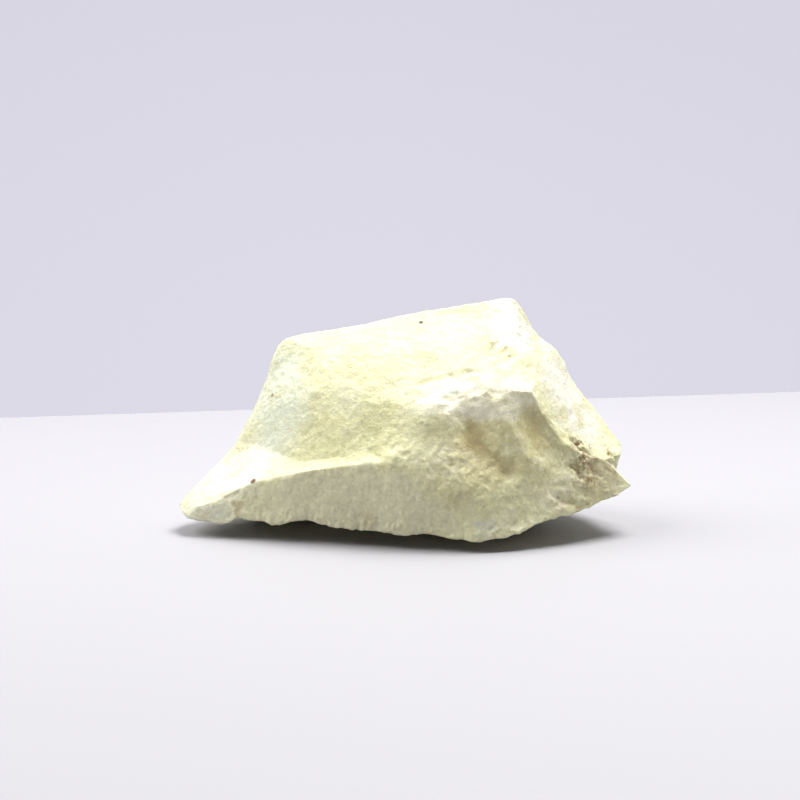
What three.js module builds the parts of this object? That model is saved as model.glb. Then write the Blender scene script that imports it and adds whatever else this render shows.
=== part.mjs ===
// A broken lump of spodumene: one solid piece of pale, massive mineral that lies on a flat cleavage face.
// Millimetres, +Z up. The origin is under the middle of the lump, on the plane it rests on.
// Ridge lines run round the stone from its left tip to its right tip. The skin is stretched from each ridge
// to the next, divided into small facets, dented where flakes have sprung off, and roughened by the break.
import * as THREE from "three";
import { ImprovedNoise } from "three/addons/math/ImprovedNoise.js";

// Overall size: the finished lump is brought to exactly this length (X), depth (Y) and height (Z).
const LENGTH = 90;
const DEPTH = 48;
const HEIGHT = 46.2;

// Heights below are counted from the lowest point of the front edge. The lump rests on a sole set back under
// it, on a plane this far lower.
const SOLE = -2.2;

// The two points where all ridges meet.
const LEFT_TIP = [-45, -3, 3.2];
const RIGHT_TIP = [45, -5.5, 7.6];

// Facets: edges longer than this are halved, in so many passes.
const LONGEST_EDGE = 2.7;
const SPLIT_PASSES = 5;

// Broken-surface relief: the width of its swells and of its finer lumps, and how far each stands out.
const SWELL_WIDTH = 9;
const SWELL_HEIGHT = 0.45;
const LUMP_WIDTH = 3.4;
const LUMP_HEIGHT = 0.28;

// The place in the endless noise that the relief is taken from.
const NOISE_PLACE = new THREE.Vector3(31.7, 11.3, 47.9);

// The relief dies away within this height of the plane that the lump rests on, and never comes nearer to it.
const FOOT_FADE = 2.5;
const FOOT_CLEARANCE = 0.3;

// Ridge lines in order round the stone: up the front, over the top, down the back and under the sole.
const RIDGES = [
  // ragged lower edge of the front, which overhangs the sole
  [[-44.2, -5.5, 2], [-42.4, -8.2, 1.5], [-39.4, -9.2, 1.2], [-35.5, -10.4, 0.9], [-33.7, -11, 1.2],
    [-32.5, -11.2, 2.3], [-28.7, -12.2, 1.7], [-25.7, -12.9, 1.3], [-23.2, -13.6, 1.5], [-21.7, -13.9, 2.3],
    [-18.6, -14.5, 2.4], [-15.7, -15.2, 1.7], [-11.7, -16.3, 1.5], [-8.7, -17.1, 0.9], [-3.9, -18.4, 1.3],
    [-0.6, -19.3, 0.8], [4.4, -20.4, 1.1], [7.7, -21.2, 0.6], [14.5, -22.6, 0.2], [17.2, -22.2, 0.9],
    [19.6, -21.7, 0.6], [21, -21.1, 1.2], [25.5, -19.1, 2.7], [28.9, -17.4, 3.7], [32, -15.5, 3.9],
    [35.1, -13.6, 4.5], [38.8, -11, 5.5], [42, -9, 6.1]],
  // brow: upper edge of the smooth front face
  [[-41.4, -7.9, 3.7], [-37, -9.3, 5.3], [-34, -9.9, 7.1], [-29.5, -10.8, 9.2], [-21.5, -13, 11.2],
    [-14.5, -15, 12.8], [-7.5, -17, 14.2], [-1.5, -19, 14.3], [5, -20.8, 12.2], [10, -21.4, 10.5],
    [15, -21.8, 7.2], [20, -20.6, 5.2], [27, -17.6, 5.5], [31, -15.5, 6.3], [38.5, -11, 7.8]],
  // back of the sloping shelf, and foot of the main face and of the hollow
  [[-43, -3, 5], [-40.5, -1.5, 6.9], [-34, 0, 12.3], [-30.5, -0.5, 15.4], [-26.5, -4.5, 14.4],
    [-20, -10.5, 13], [-12.5, -13, 14.5], [-6, -15.5, 15.8], [-1.5, -17.8, 16.3], [3, -19, 15.3],
    [7, -20, 14.4], [12.5, -20.5, 12], [18, -20.1, 9.8], [23.5, -18.2, 9.6], [28, -16.2, 9.8],
    [32, -14.5, 9.6], [38.5, -10.5, 9.6]],
  // middle of the main face, and floor of the hollow
  [[-40.5, -0.5, 7.2], [-34, 1.2, 13], [-30.5, 1, 19], [-26, -2, 22], [-21.5, -5.5, 23.2],
    [-12.5, -8.8, 23.8], [-4.5, -12.5, 22.4], [0, -15.2, 20.9], [5, -17.5, 19.5], [10.5, -18.3, 17],
    [16, -18, 15], [20, -17.4, 13.6], [24.5, -17.3, 14.2], [28, -14.4, 14.3], [31, -13.1, 13],
    [38.5, -9.8, 11.3]],
  // a little higher: the steep wall of the hollow, with a rib between its two scoops
  [[-40.5, -0.1, 7.3], [-34, 1.5, 13.2], [-30.5, 1.4, 19.7], [-26, -1, 23.7], [-21, -4.5, 25.2],
    [-12.5, -7.4, 26], [-5, -11.2, 24.8], [0.5, -14.8, 22.4], [5, -16.7, 22.3], [9, -16.3, 21.8],
    [13, -15.5, 21.6], [16, -15.4, 21.5], [19.8, -16.2, 21.5], [22.8, -14.3, 21.5], [26.2, -13.1, 19.6],
    [30, -12.7, 15.8], [34, -11.5, 13.4], [39, -9.2, 12.2]],
  // crest: lip above the hollow, running down to the right as the edge of the right-hand face
  [[-40.5, 0.3, 7.4], [-34, 1.8, 13.4], [-30.5, 1.8, 20.3], [-26, 0, 25.4], [-20.5, -3.4, 27.3],
    [-12.5, -6, 28], [-5.5, -10.1, 26.6], [1, -14.1, 24.1], [6, -15.5, 25.2], [12, -15.1, 26.3],
    [15, -15.1, 26.9], [16.2, -15, 27.9], [24.6, -13.4, 27.3], [27.3, -12.8, 22.3], [31, -12, 17.5],
    [34.5, -11, 14.8], [39.5, -8.4, 13.2]],
  // ledge: back of the narrow bright step above the crest
  [[-40.5, 0.9, 7.5], [-34, 2.4, 13.6], [-30.5, 2.3, 21], [-26, 1.2, 27.4], [-19.5, -1.8, 30],
    [-12, -3.4, 31], [-4.5, -8.2, 29.1], [3.5, -11.3, 28.2], [9.5, -11.2, 29.9], [15, -10.5, 30.8],
    [20, -9.8, 31.4], [26, -8.8, 28.8], [29, -9, 22.6], [33.5, -8.4, 17.3], [39, -5.5, 14.7],
    [43.5, -3, 13.3], [41.9, -4.6, 11.2]],
  // upper part of the main face and of the right-hand face
  [[-40.5, 1.5, 7.5], [-34, 3, 13.7], [-30.5, 2.8, 21.5], [-26, 3, 29.3], [-18, 1, 33.8],
    [-11, 0, 35.3], [-1, -3, 35.1], [9, -4.2, 36], [17, -3.4, 37.2], [23, -2.6, 36.4], [28, -2.4, 31],
    [33, -2.4, 24.4], [39.5, -1, 17.2], [44, 0.5, 13.6], [42.3, -2.4, 9.9]],
  // front of the top edge
  [[-43.3, 0.5, 5], [-40.5, 2.2, 7.2], [-37, 3.2, 9.7], [-34, 3.8, 13.5], [-30.5, 3.5, 21.7],
    [-28.8, 4, 25.5], [-26.4, 4.5, 30.3], [-25.2, 5, 33.8], [-23.8, 5.5, 35.6], [-10.5, 5, 38.1],
    [-1, 4, 40.1], [9.5, 4, 41.6], [19.5, 4.5, 43.4], [22, 5, 43.9], [23.4, 5, 43], [24.5, 5, 40.9],
    [27.8, 5, 35.6], [31, 5, 33.4], [34, 5, 27.8], [37.3, 5, 23.5], [41, 4, 18.9], [44.4, 3, 14.2],
    [42.6, -0.5, 9.2]],
  // rear of the top edge
  [[-43, 2, 4.7], [-40.5, 4, 6.9], [-34, 5.5, 12.8], [-30, 6.5, 20.5], [-25.5, 8.5, 31], [-22.5, 10.5, 34],
    [-12, 10.5, 36.6], [-3, 11, 38.4], [5, 10.5, 39.2], [13, 9.5, 40.8], [20, 9, 42.2], [22.5, 9, 42],
    [25, 9.5, 38.8], [29, 9.5, 33.6], [34, 9.5, 26.8], [39, 8.5, 20.4], [43, 6, 14.8], [42.6, 1, 8.8]],
  // foot of the cleavage face at the back
  [[-43, 2.8, 4.2], [-40.5, 5, 6], [-35, 7.5, 9.8], [-28, 9.8, 15.5], [-23, 11.4, 19.5], [-15, 13.4, 20.5],
    [-5, 15.8, 19.4], [4, 14.8, 21], [13, 13.6, 23.5], [21, 12.8, 24.5], [27, 12.2, 20.5], [34, 11.2, 16.2],
    [40, 8.5, 12.6], [42.4, 2, 8.4]],
  // outer edge of the broken step at the back
  [[-43, 3, 3.6], [-40, 6.5, 5], [-34, 12, 8.2], [-27, 16.5, 12.5], [-20, 19, 17], [-12, 21, 18],
    [-3, 22.4, 15.5], [6, 20.5, 17.5], [15, 20.5, 21], [21, 21, 20], [28, 19.5, 15.5], [35, 16, 11.5],
    [40.5, 10, 9.4], [42.3, 2.6, 7.9]],
  // swell of the lower back
  [[-42.8, 3, 3], [-39, 7.5, 3.8], [-30, 16, 6.5], [-20, 21, 9], [-10, 22.8, 10], [0, 23.7, 8],
    [10, 22.8, 9.5], [19, 23.2, 10.5], [27, 21.4, 8.5], [35, 17, 7.6], [40.5, 9.5, 7.4], [42.2, 2.4, 7.2]],
  // lower edge of the back
  [[-42.8, 2, 2.3], [-40, 6, 2.2], [-33, 13, 2], [-24, 19, 2.6], [-14, 21.5, 2.2], [-4, 23.5, 1.6],
    [7, 23, 2], [14, 24, 1.4], [22, 22.5, 2.8], [29, 20.5, 3.8], [36, 15.5, 5], [40.8, 8, 5.9],
    [42, 2, 6.4]],
  // back of the flat sole
  [[-42.5, 0, 1.7], [-36, 3.5, 0.2], [-27, 8, SOLE], [-17, 14, SOLE], [0, 17, SOLE], [14, 16, SOLE],
    [22, 11, SOLE], [31, 8, 1.2], [40, 3, 5]],
  // front of the flat sole
  [[-42.5, -3, 1.6], [-36, -1, 1], [-26, 5, SOLE], [-17, 4, SOLE], [-6, 0, SOLE], [3, -6, SOLE],
    [11, -11, SOLE], [18, -9.5, SOLE], [23, -4, SOLE], [31, -5, 2], [40, -5, 5.4]],
  // roof of the undercut below the front
  [[-42.5, -4.5, 1.9], [-36, -5, 2], [-31, -4, 2.6], [-23, -3, 2.6], [-15, -4.5, 2.6], [-6, -8, 2.2],
    [3, -12.5, 1.7], [10, -15.5, 1.2], [15, -16.5, 1], [20, -15.5, 1.4], [27, -12, 3.2], [34, -10, 4.5],
    [40, -8, 5.9]],
];

// Places where flakes have sprung off, or grains stand proud: centre, radius, and depth of the hollow
// (a negative depth is a lump).
const SCARS = [
  { at: [19, -6.5, 33.8], radius: 4.5, depth: 0.9 },
  { at: [34, -12, 12.5], radius: 4.5, depth: 0.8 },
  { at: [-26.5, 4, 31], radius: 3.5, depth: -0.5 },
  { at: [-1.5, -18, 16], radius: 4, depth: -0.5 },
  { at: [30, -16, 7], radius: 4.5, depth: -0.4 },
  { at: [-9, 22.5, 10], radius: 7, depth: 1.1 },
  { at: [18, 12, 31], radius: 8, depth: 1.3 },
  { at: [-17, 12, 27], radius: 6, depth: 0.9 },
];

// One strip of the skin: triangles between two ridges, always taking the shorter way across.
function zip(points, lower, upper) {
  const triangles = [];
  let i = 0;
  let j = 0;
  const gap = (a, b) => points[a].distanceTo(points[b]);
  while (i + 1 < lower.length || j + 1 < upper.length) {
    const alongLower =
      j + 1 === upper.length ||
      (i + 1 < lower.length && gap(lower[i + 1], upper[j]) < gap(lower[i], upper[j + 1]));
    if (alongLower) {
      triangles.push([lower[i], lower[i + 1], upper[j]]);
      i += 1;
    } else {
      triangles.push([lower[i], upper[j + 1], upper[j]]);
      j += 1;
    }
  }
  return triangles.filter(([a, b, c]) => a !== b && b !== c && c !== a);
}

// The coarse skin: every ridge joined to the next, and the last to the first.
function coarseSkin() {
  const points = [LEFT_TIP, RIGHT_TIP].map((p) => new THREE.Vector3(...p));
  const ridges = RIDGES.map((ridge) => {
    const inner = ridge.map((p) => points.push(new THREE.Vector3(...p)) - 1);
    return [0, ...inner, 1];
  });
  const triangles = ridges.flatMap((ridge, k) => zip(points, ridge, ridges[(k + 1) % ridges.length]));
  return { points, triangles };
}

// Halves every edge that is too long, pass after pass.
function splitLongEdges({ points, triangles }) {
  let current = triangles;
  for (let pass = 0; pass < SPLIT_PASSES; pass += 1) {
    const middles = new Map();
    const middle = (a, b) => {
      const key = a < b ? `${a} ${b}` : `${b} ${a}`;
      if (!middles.has(key)) {
        const long = points[a].distanceTo(points[b]) > LONGEST_EDGE;
        middles.set(key, long ? points.push(points[a].clone().lerp(points[b], 0.5)) - 1 : null);
      }
      return middles.get(key);
    };
    current = current.flatMap(([a, b, c]) =>
      splitTriangle(a, b, c, middle(a, b), middle(b, c), middle(c, a)));
  }
  return { points, triangles: current };
}

// A triangle cut at whichever of its edges have a middle point.
function splitTriangle(a, b, c, ab, bc, ca) {
  const cuts = [ab, bc, ca].filter((m) => m !== null).length;
  if (cuts === 0) return [[a, b, c]];
  if (cuts === 3) return [[a, ab, ca], [ab, b, bc], [ca, bc, c], [ab, bc, ca]];
  if (ab === null) return splitTriangle(b, c, a, bc, ca, ab);
  if (cuts === 1) return [[a, ab, c], [ab, b, c]];
  if (bc === null) return [[a, ab, ca], [ab, b, c], [ab, c, ca]];
  return [[a, ab, c], [ab, b, bc], [ab, bc, c]];
}

// The flat sole needs no small facets: they are taken out, and its outline is filled again with few.
function plainSole({ points, triangles }) {
  const onSole = (triangle) => triangle.every((i) => points[i].z === SOLE);
  const edges = triangles.filter(onSole).flatMap(([a, b, c]) => [[a, b], [b, c], [c, a]]);
  const inner = new Set(edges.map(([from, to]) => `${to} ${from}`));
  const rim = new Map(edges.filter(([from, to]) => !inner.has(`${from} ${to}`)));
  const outline = [rim.keys().next().value];
  while (outline.length < rim.size) outline.push(rim.get(outline.at(-1)));
  const contour = outline.map((i) => new THREE.Vector2(points[i].x, points[i].y));
  const faces = THREE.ShapeUtils.triangulateShape(contour, []);
  const sole = faces.map(([a, b, c]) => [outline[c], outline[b], outline[a]]);
  return { points, triangles: [...triangles.filter((triangle) => !onSole(triangle)), ...sole] };
}

const skin = plainSole(splitLongEdges(coarseSkin()));
const geometry = new THREE.BufferGeometry().setFromPoints(skin.points);
geometry.setIndex(skin.triangles.flat());
geometry.computeVertexNormals();

// How far the relief and the scars move a point of the skin, outwards.
const noise = new ImprovedNoise();
const wave = (p, width) => noise.noise(...p.clone().divideScalar(width).add(NOISE_PLACE));
function reliefAt(p) {
  const rough = SWELL_HEIGHT * wave(p, SWELL_WIDTH) + LUMP_HEIGHT * wave(p, LUMP_WIDTH);
  const scars = SCARS.map(({ at, radius, depth }) => {
    const share = p.distanceTo(new THREE.Vector3(...at)) / radius;
    return share < 1 ? -depth * (1 - share * share) ** 2 : 0;
  });
  return rough + scars.reduce((sum, move) => sum + move, 0);
}

const position = geometry.getAttribute("position");
const normal = geometry.getAttribute("normal");
for (let i = 0; i < position.count; i += 1) {
  const p = new THREE.Vector3().fromBufferAttribute(position, i);
  if (p.z === SOLE) continue;
  const n = new THREE.Vector3().fromBufferAttribute(normal, i);
  p.addScaledVector(n, reliefAt(p) * Math.min(1, (p.z - SOLE) / FOOT_FADE));
  position.setXYZ(i, p.x, p.y, Math.max(p.z, SOLE + FOOT_CLEARANCE));
}

// Brings the lump to its overall size, with the origin under its middle.
geometry.computeBoundingBox();
const { min, max } = geometry.boundingBox;
geometry.translate(-(min.x + max.x) / 2, -(min.y + max.y) / 2, -min.z);
geometry.scale(LENGTH / (max.x - min.x), DEPTH / (max.y - min.y), HEIGHT / (max.z - min.z));
geometry.computeVertexNormals();

const paleStone = new THREE.MeshStandardMaterial({ color: 0xe9e6cf, roughness: 0.5, metalness: 0 });
const lump = new THREE.Mesh(geometry, paleStone);
lump.name = "spodumene_lump";

const specimen = new THREE.Group();
specimen.add(lump);

export default specimen;
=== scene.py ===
"""The looks of a broken lump of spodumene that lies on a pale table, in metres, in the frame of its solid."""

import math

import bpy
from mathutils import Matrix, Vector
from mathutils.kdtree import KDTree


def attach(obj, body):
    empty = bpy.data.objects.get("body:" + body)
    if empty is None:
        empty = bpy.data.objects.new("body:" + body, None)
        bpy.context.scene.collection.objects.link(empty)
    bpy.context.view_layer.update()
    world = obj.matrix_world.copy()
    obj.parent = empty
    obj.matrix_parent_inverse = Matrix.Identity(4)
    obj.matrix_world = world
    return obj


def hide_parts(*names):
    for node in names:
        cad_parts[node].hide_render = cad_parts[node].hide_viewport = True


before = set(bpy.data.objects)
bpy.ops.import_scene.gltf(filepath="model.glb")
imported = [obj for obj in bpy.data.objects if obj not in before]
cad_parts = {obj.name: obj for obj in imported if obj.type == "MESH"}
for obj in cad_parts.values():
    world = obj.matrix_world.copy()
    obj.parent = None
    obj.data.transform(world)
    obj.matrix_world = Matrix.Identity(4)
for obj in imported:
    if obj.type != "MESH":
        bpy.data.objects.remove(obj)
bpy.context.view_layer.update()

# The stone: one lump of massive spodumene, broken out of coarse pegmatite. It is split along flat
# cleavage faces, with hollows where flakes sprang off, and every broken face is sugary with fine grains.
# It starts as the solid's own skin, which is divided, softened and roughened as breaking leaves it.
MM = 0.001
RIDGE_ANGLE = math.radians(34)
RIDGE_CRISPNESS = 0.6
WELD_GAP = 0.001 * MM
QUAD_BEND = math.radians(20)
QUAD_SKEW = math.radians(60)
SOFTENING = 0.5
SOFT_PASSES = 5
SKIN_LEVELS = 2
SOLE_FADE = 1.5 * MM
SOLE_RIM = 0.01 * MM

bpy.ops.object.select_all(action="DESELECT")
stone = bpy.data.objects.new("spodumene_stone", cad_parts["spodumene_lump"].data.copy())
bpy.context.scene.collection.objects.link(stone)
bpy.context.view_layer.objects.active = stone
stone.select_set(True)
stone.data.materials.clear()


def select_vertices(wanted):
    """Selects only those vertices of the stone that pass a test."""
    for item in [*stone.data.polygons, *stone.data.edges]:
        item.select = False
    for vertex in stone.data.vertices:
        vertex.select = wanted(vertex)


# The sharp ridges between the faces stay crisp, and the faces between them are evened out.
bpy.ops.object.mode_set(mode="EDIT")
bpy.ops.mesh.select_all(action="SELECT")
bpy.ops.mesh.remove_doubles(threshold=WELD_GAP)
bpy.ops.mesh.tris_convert_to_quads(face_threshold=QUAD_BEND, shape_threshold=QUAD_SKEW)
bpy.ops.mesh.select_mode(type="EDGE")
bpy.ops.mesh.select_all(action="DESELECT")
bpy.ops.mesh.edges_select_sharp(sharpness=RIDGE_ANGLE)
bpy.ops.transform.edge_crease(value=RIDGE_CRISPNESS)
bpy.ops.mesh.select_mode(type="VERT")
bpy.ops.mesh.select_all(action="INVERT")
bpy.ops.object.mode_set(mode="OBJECT")
select_vertices(lambda vertex: vertex.select and vertex.co.z > SOLE_FADE)
bpy.ops.object.mode_set(mode="EDIT")
bpy.ops.mesh.vertices_smooth(factor=SOFTENING, repeat=SOFT_PASSES)
bpy.ops.object.mode_set(mode="OBJECT")

# The rim of the flat sole stays fully sharp, so the stone keeps lying flat.
select_vertices(lambda vertex: vertex.co.z < SOLE_RIM)
bpy.ops.object.mode_set(mode="EDIT")
bpy.ops.transform.edge_crease(value=1)
bpy.ops.object.mode_set(mode="OBJECT")

# The skin is divided finely enough to carry the grain.
bpy.ops.object.modifier_add(type="SUBSURF")
stone.modifiers[-1].levels = SKIN_LEVELS
stone.modifiers[-1].render_levels = SKIN_LEVELS
bpy.ops.object.modifier_apply(modifier=stone.modifiers[-1].name)

# The relief fades out towards the sole, so the stone still rests flat.
above_sole = stone.vertex_groups.new(name="above_sole")
for vertex in stone.data.vertices:
    above_sole.add([vertex.index], min(1.0, max(0.0, vertex.co.z / SOLE_FADE)), "REPLACE")

skin = KDTree(len(stone.data.vertices))
for vertex in stone.data.vertices:
    skin.insert(vertex.co, vertex.index)
skin.balance()


def weigh(name, places):
    """A vertex group, full at the middle of each place and nothing at its reach (mm). Returns the shares."""
    shares = {}
    for centre, reach in places:
        for _, index, gap in skin.find_range(Vector(centre) * MM, reach * MM):
            share = (1 - (gap / (reach * MM)) ** 2) ** 2
            shares[index] = max(share, shares.get(index, 0))
    group = stone.vertex_groups.new(name=name)
    for index, share in shares.items():
        group.add([index], share, "REPLACE")
    return shares


def roughen(name, kind, width, height, group="above_sole", along=None, **settings):
    """Raises and lowers the skin by a pattern of lumps, all in millimetres."""
    texture = bpy.data.textures.new(name, kind)
    texture.noise_scale = width * MM
    for key, value in settings.items():
        setattr(texture, key, value)
    bpy.context.view_layer.objects.active = stone
    bpy.ops.object.modifier_add(type="DISPLACE")
    relief = stone.modifiers[-1]
    relief.texture = texture
    relief.strength = height * MM
    relief.mid_level = 0.5
    relief.vertex_group = group
    if along:
        relief.texture_coords = "OBJECT"
        relief.texture_coords_object = along
    bpy.ops.object.modifier_apply(modifier=relief.name)
    bpy.data.textures.remove(texture)


def sink(name, path, reach, depth):
    """Lets the skin in along a line of points, or raises it where the depth is negative, in millimetres."""
    places = []
    for start, end in zip(path, path[1:]):
        steps = math.ceil(2 * math.dist(start, end) / reach)
        places += [(Vector(start).lerp(Vector(end), k / steps), reach) for k in range(steps + 1)]
    weigh(name, places)
    bpy.context.view_layer.objects.active = stone
    bpy.ops.object.modifier_add(type="DISPLACE")
    relief = stone.modifiers[-1]
    relief.strength = -depth * MM
    relief.mid_level = 0
    relief.vertex_group = name
    bpy.ops.object.modifier_apply(modifier=relief.name)


# Two scoops run down the hollow at a slant, with a rib between them, under a worn crest. The left tip has
# a crease, and there is a knob on the brow of the front face.
sink("left_scoop", [(11.3, -16.5, 24.6), (13.2, -17.5, 20.7), (15.6, -18.8, 17.2), (19, -19, 14.3)], 3.4, 0.6)
sink("worn_crest", [(8, -15.8, 27.4), (12, -15.6, 28.3), (16, -15.6, 29.4)], 2.8, 0.4)
sink("right_scoop", [(22.2, -15, 28), (26.2, -14.2, 21.8), (29.8, -13.8, 16.5)], 3.2, 0.4)
sink("rib", [(17.2, -16.6, 27.2), (21, -16.4, 20.2), (26, -16.4, 15.3)], 2.2, -0.4)
sink("left_shoulder", [(4.5, -17, 24.6), (9.5, -16.8, 24.4)], 4, -0.4)
sink("crease_at_the_left_tip", [(-40.5, -8, 6), (-35.9, -9.9, 7.6), (-32.5, -11.1, 9)], 1.2, 0.4)
sink("knob_at_the_brow", [(-3.2, -18.9, 17.6), (-2.2, -19.2, 18)], 2.4, -0.5)

# A crack above the crest, short cleavage marks in the dip on the right, and pits by the right tip.
sink("crack", [(3.6, -11.6, 30.7), (7, -11.8, 31.6), (10, -11.7, 32.4), (14.3, -11.3, 33)], 1.3, 0.3)
sink("mark_a", [(17.2, -6.6, 36.2), (18.6, -5.2, 37.9)], 1.1, 0.35)
sink("mark_b", [(18.4, -7.4, 35.2), (20.2, -6, 36.6)], 1.1, 0.35)
sink("mark_c", [(19.6, -8.2, 34.3), (21.2, -7.2, 35.6)], 1.1, 0.35)
sink("upper_pits", [(32.6, -10.6, 19.6), (33.8, -10.2, 18.6), (34.2, -10.6, 17.6)], 0.9, 0.8)
sink("middle_pits", [(35, -10.2, 17.2), (36.3, -9.9, 16.4)], 0.8, 0.7)
sink("edge_pit", [(40.6, -6.2, 15.7), (41.4, -5.5, 15.6), (42, -5.3, 15.2)], 0.9, 0.6)
sink("lower_pits", [(32.6, -13, 14.8), (33.8, -12.6, 13.6), (34, -13, 12.4)], 1, 0.8)
sink("crumbled_edge", [(29, -17.4, 9.6), (30.6, -17, 8.6), (32.6, -15.6, 8)], 1, 0.6)

# The break is gently wavy and sugary everywhere, and coarse and crumbly at the tips and under the hollow.
# The lower front edge and the crest are ragged where small chips have come off.
weigh("crumbly", [((37, -11, 14), 9), ((31, -15.5, 11), 8), ((18, -20, 12), 8), ((8, -21, 15), 8),
                  ((0, -19, 18), 6), ((-42, -6, 6), 6), ((-32, -12, 4), 4)])
weigh("hollow", [((12, -17, 22), 9), ((20, -16.5, 21), 10), ((28, -14, 19), 8)])
weigh("ragged", [((-26, -13, 3.6), 4), ((-20, -14.5, 4.2), 4), ((-14, -16, 4), 4), ((-8, -17.5, 3.4), 4),
                 ((-2, -19.2, 3.4), 4), ((4, -20.8, 3.2), 4), ((10, -22.2, 3), 4), ((16, -23, 3), 4),
                 ((22, -21.2, 4), 4), ((28, -18, 6), 4), ((35, -14, 7), 4)])
weigh("crest", [((3, -14.6, 27.4), 3), ((8, -16.2, 28), 3), ((13, -16.2, 28.8), 3), ((18, -15.6, 30), 3),
                ((23, -14, 29.6), 3), ((27, -13, 25), 3), ((31, -12, 20), 3)])

# The front is one clean cleavage face, on which most of the grain is lost.
GRAIN_LOST = 0.65
clean_front = weigh("clean_front", [((-31, -11.5, 6), 7), ((-24, -13.5, 8), 8), ((-16, -15.5, 9), 9),
                                    ((-8, -17.5, 9.5), 9), ((0, -19.5, 9), 9), ((8, -21.5, 7), 8)])
for index, share in clean_front.items():
    above_sole.add([index], GRAIN_LOST * share, "SUBTRACT")

# The flutes in the hollow run down at a slant, so their pattern is drawn out along a turned frame.
FLUTE_SLANT = math.radians(48)
FLUTE_STRETCH = 4
bpy.ops.object.empty_add(location=(0, 0, 0), rotation=(0, FLUTE_SLANT, 0))
slant = bpy.context.object
slant.scale = (FLUTE_STRETCH, FLUTE_STRETCH, 1)
bpy.context.view_layer.update()

# From the broad swell of the break down to its grains, then the coarser places.
roughen("swells", "CLOUDS", 6, 0.4, noise_depth=2)
roughen("lumps", "CLOUDS", 1.5, 0.28, noise_depth=3)
roughen("grains", "VORONOI", 0.9, 0.16)
roughen("crumbs", "VORONOI", 2.2, 0.4, group="crumbly")
roughen("fine_crumbs", "CLOUDS", 1.1, 0.7, group="crumbly", noise_depth=3)
roughen("chips", "CLOUDS", 1.6, 1.3, group="ragged", noise_depth=3)
roughen("crest_chips", "CLOUDS", 1.6, 0.7, group="crest", noise_depth=2)
roughen("flutes", "CLOUDS", 1.2, 0.38, group="hollow", along=slant, noise_depth=3)
bpy.data.objects.remove(slant)

bpy.ops.object.select_all(action="DESELECT")
stone.select_set(True)
bpy.context.view_layer.objects.active = stone
bpy.ops.object.shade_smooth()


def linear(hex_colour):
    """A colour written as sRGB hex, as the linear values that shaders read."""
    parts = [int(hex_colour[i:i + 2], 16) / 255 for i in (1, 3, 5)]
    return tuple(c / 12.92 if c <= 0.04045 else ((c + 0.055) / 1.055) ** 2.4 for c in parts) + (1.0,)


def add_node(tree, kind, links=None, inputs=None, **settings):
    """One shader node with its settings, its fixed inputs and its links."""
    node = tree.nodes.new(kind)
    for key, value in settings.items():
        setattr(node, key, value)
    for key, value in (inputs or {}).items():
        node.inputs[key].default_value = value
    for key, socket in (links or {}).items():
        tree.links.new(socket, node.inputs[key])
    return node


# Massive spodumene: a hard, pearly lithium mineral, cream to greenish white, with rusty stains in its pores.
# The broken skin is matt and sugary, and single grains catch the light where their cleavage faces the lamp.
REFRACTIVE_INDEX = 1.66
spodumene = bpy.data.materials.new("massive_spodumene")
spodumene.use_nodes = True
tree = spodumene.node_tree
shader = tree.nodes["Principled BSDF"]
shader.inputs["IOR"].default_value = REFRACTIVE_INDEX
place = add_node(tree, "ShaderNodeTexCoord").outputs["Object"]

# The edges of every patch wander, because the places are pushed about by noise first.
WANDER_WIDTH = 5 * MM
WANDER_REACH = 9 * MM
wander = add_node(tree, "ShaderNodeTexNoise", {"Vector": place}, {"Scale": 1 / WANDER_WIDTH, "Detail": 5.0})
centred = add_node(tree, "ShaderNodeVectorMath", {0: wander.outputs["Color"]}, {1: (0.5, 0.5, 0.5)},
                   operation="SUBTRACT")
shift = add_node(tree, "ShaderNodeVectorMath", {0: centred.outputs[0]}, {"Scale": WANDER_REACH},
                 operation="SCALE")
pushed = add_node(tree, "ShaderNodeVectorMath", {0: place, 1: shift.outputs[0]}, operation="ADD").outputs[0]

# The mineral itself is clouded, from cream to a paler greenish white.
CLOUD_WIDTH = 7 * MM
clouding = add_node(tree, "ShaderNodeTexNoise", {"Vector": place},
                    {"Scale": 1 / CLOUD_WIDTH, "Detail": 8.0, "Roughness": 0.6})
cloud_share = add_node(tree, "ShaderNodeMapRange", {"Value": clouding.outputs["Fac"]},
                       {"From Min": 0.35, "From Max": 0.65})
colour = add_node(tree, "ShaderNodeMix", {0: cloud_share.outputs[0]},
                  {6: linear("#DEDBA8"), 7: linear("#E7E6C0")}, data_type="RGBA").outputs[2]

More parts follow.
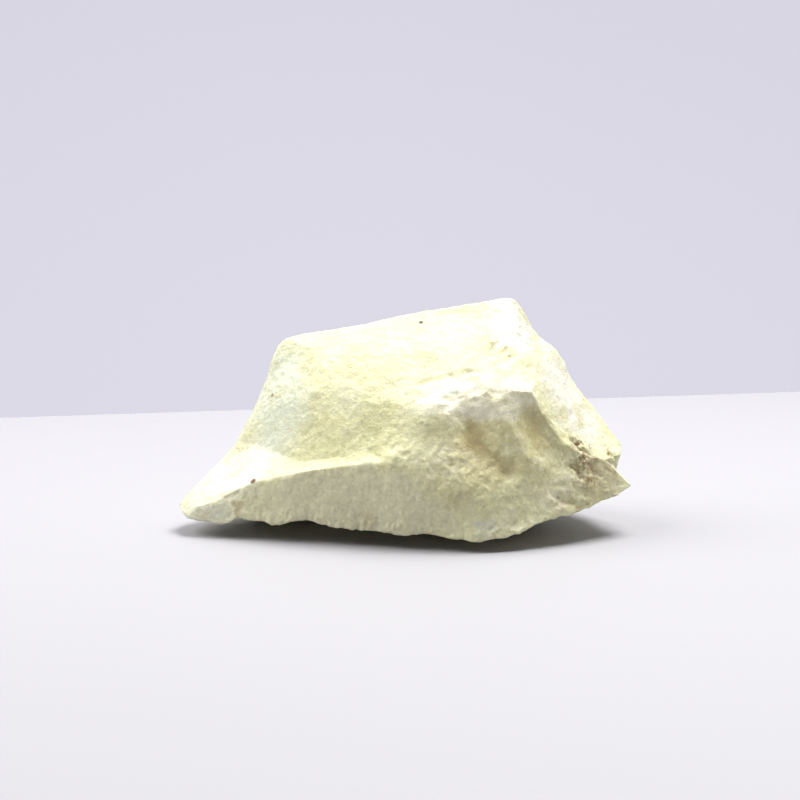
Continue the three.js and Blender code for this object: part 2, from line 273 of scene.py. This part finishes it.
# Patches of another colour, some of them painted light or painted shade: where, colour, centre and
# half-widths in millimetres, and how well it covers.
FRONT_CENTRE = (-15, -19, 7)
FRONT_HALF_WIDTHS = (33, 10, 10)
PATCHES = [
    # The left face is greenish white, and is also painted lighter to stand in for light from the left.
    ("left face, greenish with painted light", "#E4EAD0", (-25, -2, 25), (7, 10, 14), 0.85),
    ("stained foot of the main face", "#DEDA9C", (-6, -13, 21), (15, 8, 7), 0.5),
    ("top of the main face", "#E6E3AE", (0, 0, 40), (26, 6, 5), 0.5),
    # Painted light: the up-facing ledge at the left is painted near white where the lamp lights it.
    ("painted light on the ledge at the left", "#F0EFDF", (-33, -6, 12), (10, 8, 7), 0.75),
    # Painted light: the top by the right corner is painted near white where the lamp lights it.
    ("painted light on the top by the right corner", "#F2F1E4", (22, -2, 40), (5, 8, 6), 0.8),
    # Painted light: the right-hand face is painted near white where the lamp lights it.
    ("right-hand face", "#EEEDDE", (33, -3, 27), (10, 8, 15), 0.8),
    # Painted light: the up-facing step above the crest is painted near white.
    ("painted light on the step above the crest", "#F2F1E4", (13, -14, 30), (12, 3, 2), 0.7),
    ("front face", "#D5D1AD", FRONT_CENTRE, FRONT_HALF_WIDTHS, 0.95),
    ("left end of the front face", "#CFD0BE", (-39, -9, 5), (6, 6, 4), 0.7),
    ("hollow", "#DAD29C", (20, -17, 20), (16, 8, 11), 0.9),
    # Painted light: the sheltered wall under the crest is painted pale to lift its shade.
    ("painted light in the band under the crest", "#F6F2D6", (14, -16, 27.2), (15, 5, 3.5), 0.85),
    ("brown band of the left scoop", "#B09D66", (13.4, -18, 19.6), (3.6, 5, 5.4), 0.75),
    ("lower end of the left scoop", "#AC9962", (16.6, -18.8, 15.8), (4.2, 4, 3), 0.8),
    ("brown band of the right scoop", "#CCBD86", (25.6, -14.4, 20.6), (2.8, 4, 5), 0.65),
    ("bulge under the hollow", "#D8D19E", (11, -21, 14.5), (11, 5, 5), 0.7),
    ("right tip", "#D4CCA2", (37, -11.5, 12), (9, 7, 5.5), 0.9),
    ("pale edge below the rust", "#E8E1B8", (28.5, -17, 9.6), (6, 4, 3), 0.7),
    ("smudge on the right-hand face", "#D2CB94", (30.6, -7.8, 24.5), (1.2, 3, 2.4), 0.7),
    ("smudge further right", "#D8D2A0", (35, -3.7, 22.7), (1, 3, 2.2), 0.7),
    ("stain low on the front", "#B9AE88", (-7.9, -18.4, 5.8), (3, 3, 1.8), 0.5),
    ("stain at the left notch", "#A9976A", (-32.4, -11.9, 5.6), (1.6, 3, 1.6), 0.6),
    ("stain at the right of the front", "#BDB38C", (10.5, -22.5, 10.3), (3, 3, 2), 0.5),
    ("clear spot at the right of the front", "#D0D6D2", (14.6, -23.4, 4.9), (3, 3, 1.6), 0.35),
    ("weathered back", "#CFC894", (-8, 19, 12), (34, 9, 14), 0.75),
    ("greenish cleavage face at the back", "#D3D6B4", (6, 12, 32), (22, 4, 9), 0.7),
    ("weathered step at the back", "#B8AB80", (2, 18.5, 18.5), (34, 6, 4), 0.75),
    ("brown stain on the step", "#A08E60", (8, 19, 20), (9, 5, 3), 0.6),
    ("weathered top", "#CFC896", (0, 9, 40), (27, 3.4, 7), 0.65),
    ("left end of the back", "#CBC292", (-32, 11, 11), (10, 6, 6), 0.6),
    ("stain at the left of the back", "#BDB084", (-27, 15, 11), (7, 6, 5), 0.5),
    # Painted shade: the dip on the right of the main face is painted a darker yellow than the white top
    # around it.
    ("painted shade in the dip on the right of the main face", "#E2DEA6", (19.5, -6.8, 35.6), (2.4, 4, 2.4), 0.6),
]

# Each patch fades out between these shares of its half-widths.
PATCH_CORE = 0.5
PATCH_RIM = 1.2


def patch_share(centre, half_widths, cover):
    """How well a patch covers each place: fully in its core and not at all beyond its rim."""
    away = add_node(tree, "ShaderNodeVectorMath", {0: pushed}, {1: tuple(c * MM for c in centre)},
                    operation="SUBTRACT")
    shares = add_node(tree, "ShaderNodeVectorMath", {0: away.outputs[0]},
                      {1: tuple(1 / (w * MM) for w in half_widths)}, operation="MULTIPLY")
    reach = add_node(tree, "ShaderNodeVectorMath", {0: shares.outputs[0]}, operation="LENGTH")
    share = add_node(tree, "ShaderNodeMapRange", {"Value": reach.outputs["Value"]},
                     {"From Min": PATCH_RIM, "From Max": PATCH_CORE, "To Max": cover},
                     interpolation_type="SMOOTHSTEP")
    return share.outputs[0]


for name, tint, centre, half_widths, cover in PATCHES:
    colour = add_node(tree, "ShaderNodeMix", {0: patch_share(centre, half_widths, cover), 6: colour},
                      {7: linear(tint)}, data_type="RGBA", label=name).outputs[2]

# Rust sits in the pores and fresh white sugar on the broken rims, so both are broken up into speckles.
SPECKLES = [
    ("rust below the right edge", "#7E6233", (34.6, -10.5, 17), (3.4, 4, 3.6), 1.0),
    ("rust lower down", "#8A6E40", (35.5, -12.4, 13), (3.2, 4, 3.6), 0.9),
    ("rust at the right edge", "#94793F", (41.4, -5.6, 15.6), (2.2, 3, 1.4), 1.0),
    ("rust under the step at the back", "#8A6E40", (15, 21.5, 15), (6, 4, 4), 0.8),
    ("rust low at the back", "#94793F", (-16, 21.5, 8), (5, 4, 3), 0.7),
    ("sugar between the scoops", "#F4F1D6", (21.6, -17.2, 19.6), (2.4, 4, 4), 0.4),
    ("sugar below the right scoop", "#F4F1D6", (26.4, -15.8, 16), (4, 4, 2.2), 0.6),
    ("sugar on the bulge", "#F4F1D6", (8, -20, 16.4), (6, 4, 3.5), 0.5),
    ("sugar at the lower edge", "#F4F1D6", (29.8, -16.6, 10.4), (5, 4, 3.4), 0.85),
    ("rust on the crumbled edge", "#A08A58", (31, -16.6, 8.8), (3, 3, 2.4), 0.7),
]
PORE_WIDTH = 1.1 * MM
pores = add_node(tree, "ShaderNodeTexNoise", {"Vector": place},
                 {"Scale": 1 / PORE_WIDTH, "Detail": 4.0, "Roughness": 0.7})
pore_share = add_node(tree, "ShaderNodeMapRange", {"Value": pores.outputs["Fac"]},
                      {"From Min": 0.44, "From Max": 0.62})
for name, tint, centre, half_widths, cover in SPECKLES:
    share = patch_share(centre, half_widths, cover)
    speckle = add_node(tree, "ShaderNodeMath", {0: share, 1: pore_share.outputs[0]}, operation="MULTIPLY")
    colour = add_node(tree, "ShaderNodeMix", {0: speckle.outputs[0], 6: colour}, {7: linear(tint)},
                      data_type="RGBA", label=name).outputs[2]

# Dark specks: single grains of ore, with their colour, centre and radius in millimetres.
SPECK_CORE = 0.7
SPECK_RIM = 1.3
SPECKS = [
    ("#3A3426", (3.4, 0.8, 41.4), 0.45),
    ("#4A4632", (-26.4, -0.9, 26.9), 0.45),
    ("#6A4420", (-29.5, -11.2, 11.4), 0.6),
    ("#3A3428", (37.8, -11.5, 12.5), 0.3),
    ("#5A5444", (43.7, -6.7, 11.2), 0.25),
]
for tint, centre, radius in SPECKS:
    gap = add_node(tree, "ShaderNodeVectorMath", {0: place}, {1: tuple(c * MM for c in centre)},
                   operation="DISTANCE")
    share = add_node(tree, "ShaderNodeMapRange", {"Value": gap.outputs["Value"]},
                     {"From Min": SPECK_RIM * radius * MM, "From Max": SPECK_CORE * radius * MM})
    colour = add_node(tree, "ShaderNodeMix", {0: share.outputs[0], 6: colour}, {7: linear(tint)},
                      data_type="RGBA").outputs[2]

# Beige stains lie in streaks along the cleavage of the main face. The front face is cleaner.
STREAK_WIDTH = 3 * MM
STREAK_SLANT = math.radians(-9)
STREAK_STRETCH = (1 / 3, 1 / 2, 1)
streak_place = add_node(tree, "ShaderNodeMapping", {"Vector": place},
                        {"Rotation": (0, STREAK_SLANT, 0), "Scale": STREAK_STRETCH})
stain = add_node(tree, "ShaderNodeTexNoise", {"Vector": streak_place.outputs[0]},
                 {"Scale": 1 / STREAK_WIDTH, "Detail": 9.0, "Roughness": 0.65})
stain_share = add_node(tree, "ShaderNodeMapRange", {"Value": stain.outputs["Fac"]},
                       {"From Min": 0.52, "From Max": 0.72, "To Max": 0.6})
front_share = patch_share(FRONT_CENTRE, FRONT_HALF_WIDTHS, 0.85)
rough_share = add_node(tree, "ShaderNodeMath", {1: front_share}, {0: 1.0}, operation="SUBTRACT")
streak_share = add_node(tree, "ShaderNodeMath", {0: stain_share.outputs[0], 1: rough_share.outputs[0]},
                        operation="MULTIPLY")
colour = add_node(tree, "ShaderNodeMix", {0: streak_share.outputs[0], 6: colour}, {7: linear("#CFC58A")},
                  data_type="RGBA").outputs[2]

# Fine grain: each grain is a little lighter or darker than the next, and a few are fresh and paler.
GRAIN_WIDTH = 0.55 * MM
grain = add_node(tree, "ShaderNodeTexVoronoi", {"Vector": place}, {"Scale": 1 / GRAIN_WIDTH})
grain_value = add_node(tree, "ShaderNodeSeparateColor", {0: grain.outputs["Color"]})
grain_share = add_node(tree, "ShaderNodeMapRange", {"Value": grain_value.outputs[0]},
                       {"To Min": 0.9, "To Max": 1.05})
fresh_share = add_node(tree, "ShaderNodeMapRange", {"Value": grain_value.outputs[2]},
                       {"From Min": 0.9, "From Max": 0.97, "To Min": 1.0, "To Max": 1.14})
grain_light = add_node(tree, "ShaderNodeMath", {0: grain_share.outputs[0], 1: fresh_share.outputs[0]},
                       operation="MULTIPLY")
colour = add_node(tree, "ShaderNodeVectorMath", {0: colour, "Scale": grain_light.outputs[0]},
                  operation="SCALE").outputs[0]
tree.links.new(colour, shader.inputs["Base Color"])

# Most grains are matt, and a few are bare cleavage faces that shine.
MATT = 0.58
SHINY = 0.22
gloss = add_node(tree, "ShaderNodeMapRange", {"Value": grain_value.outputs[1]},
                 {"From Min": 0.85, "From Max": 0.95, "To Min": MATT, "To Max": SHINY})
tree.links.new(gloss.outputs[0], shader.inputs["Roughness"])

# The sugar on the broken skin is too fine for the mesh. It is weaker on the clean front face.
SUGAR_WIDTH = 0.5 * MM
SUGAR_HEIGHT = 0.3 * MM
sugar = add_node(tree, "ShaderNodeTexNoise", {"Vector": place},
                 {"Scale": 1 / SUGAR_WIDTH, "Detail": 4.0, "Roughness": 0.7})
sugar_share = add_node(tree, "ShaderNodeMapRange", {"Value": rough_share.outputs[0]},
                       {"To Min": 0.25, "To Max": 0.8})
bump = add_node(tree, "ShaderNodeBump", {"Height": sugar.outputs["Fac"], "Strength": sugar_share.outputs[0]},
                {"Distance": SUGAR_HEIGHT})
tree.links.new(bump.outputs[0], shader.inputs["Normal"])

# A little light passes under the skin, as it does in any pale crystal.
shader.inputs["Subsurface Weight"].default_value = 0.12
shader.inputs["Subsurface Radius"].default_value = (2.2 * MM, 2.0 * MM, 1.2 * MM)
shader.inputs["Subsurface Scale"].default_value = 1.0
stone.data.materials.append(spodumene)

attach(stone, "root")
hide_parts("spodumene_lump")

# The table: a plain pale top that ends a little way behind the stone, at a slight angle to the view.
# It is the stage, not part of the stone.
TABLE_TURN = math.radians(13)
bpy.ops.object.select_all(action="DESELECT")
bpy.ops.mesh.primitive_plane_add(size=2, location=(0.23, -0.8, 0), rotation=(0, 0, TABLE_TURN))
table = bpy.context.object
table.name = "table_top"
bpy.ops.object.transform_apply(location=True, rotation=True)
table_paint = bpy.data.materials.new("white_laminate")
table_paint.use_nodes = True
table_shader = table_paint.node_tree.nodes["Principled BSDF"]
table_shader.inputs["Base Color"].default_value = linear("#A7A6A9")
table_shader.inputs["Roughness"].default_value = 0.6
table.data.materials.append(table_paint)

# The backdrop: a pale lilac wall a good way behind the table, which glows a little.
# It is stage as well.
bpy.ops.object.select_all(action="DESELECT")
bpy.ops.mesh.primitive_plane_add(size=5, location=(0, 1.6, 0), rotation=(math.radians(90), 0, 0))
wall = bpy.context.object
wall.name = "backdrop"
bpy.ops.object.transform_apply(location=True, rotation=True)
wall_paint = bpy.data.materials.new("pale_lilac_wall")
wall_paint.use_nodes = True
wall_shader = wall_paint.node_tree.nodes["Principled BSDF"]
wall_shader.inputs["Base Color"].default_value = linear("#C9C7D2")
wall_shader.inputs["Emission Color"].default_value = linear("#DAD8E4")
wall_shader.inputs["Emission Strength"].default_value = 0.75
wall.data.materials.append(wall_paint)

# Light: a soft ceiling light above the stone, behind it and to the right, a second one high up on the left,
# and a dim room all round.
world = bpy.data.worlds.new("room")
world.use_nodes = True
air = world.node_tree.nodes["Background"]
air.inputs["Color"].default_value = linear("#E6E4E8")
air.inputs["Strength"].default_value = 0.31
bpy.context.scene.world = world


def soft_light(name, at, towards, size, power):
    """A square soft light that faces a point."""
    bpy.ops.object.light_add(type="AREA", location=at)
    light = bpy.context.object
    light.name = name
    light.data.shape = "SQUARE"
    light.data.size = size
    light.data.energy = power
    light.rotation_euler = (Vector(towards) - Vector(at)).to_track_quat("-Z", "Y").to_euler()


LIT_POINT = (0, 0, 0.02)
soft_light("ceiling_light", (0.16, 0.12, 0.58), LIT_POINT, 0.35, 6.3)
soft_light("side_light", (-0.4, 0, 0.42), LIT_POINT, 0.4, 3.0)

# The camera looks slightly down on the front of the stone, from about a hand's reach away.
AIM = Vector((-0.8 * MM, 0, 25.8 * MM))
ELEVATION = math.radians(8)
DISTANCE = 330 * MM
bpy.ops.object.camera_add()
camera = bpy.context.object
camera.name = "camera"
camera.data.lens = 74
camera.data.sensor_width = 36
camera.location = AIM + DISTANCE * Vector((0, -math.cos(ELEVATION), math.sin(ELEVATION)))
camera.rotation_euler = (AIM - camera.location).to_track_quat("-Z", "Y").to_euler()
bpy.context.scene.camera = camera
bpy.context.scene.view_settings.view_transform = "Standard"
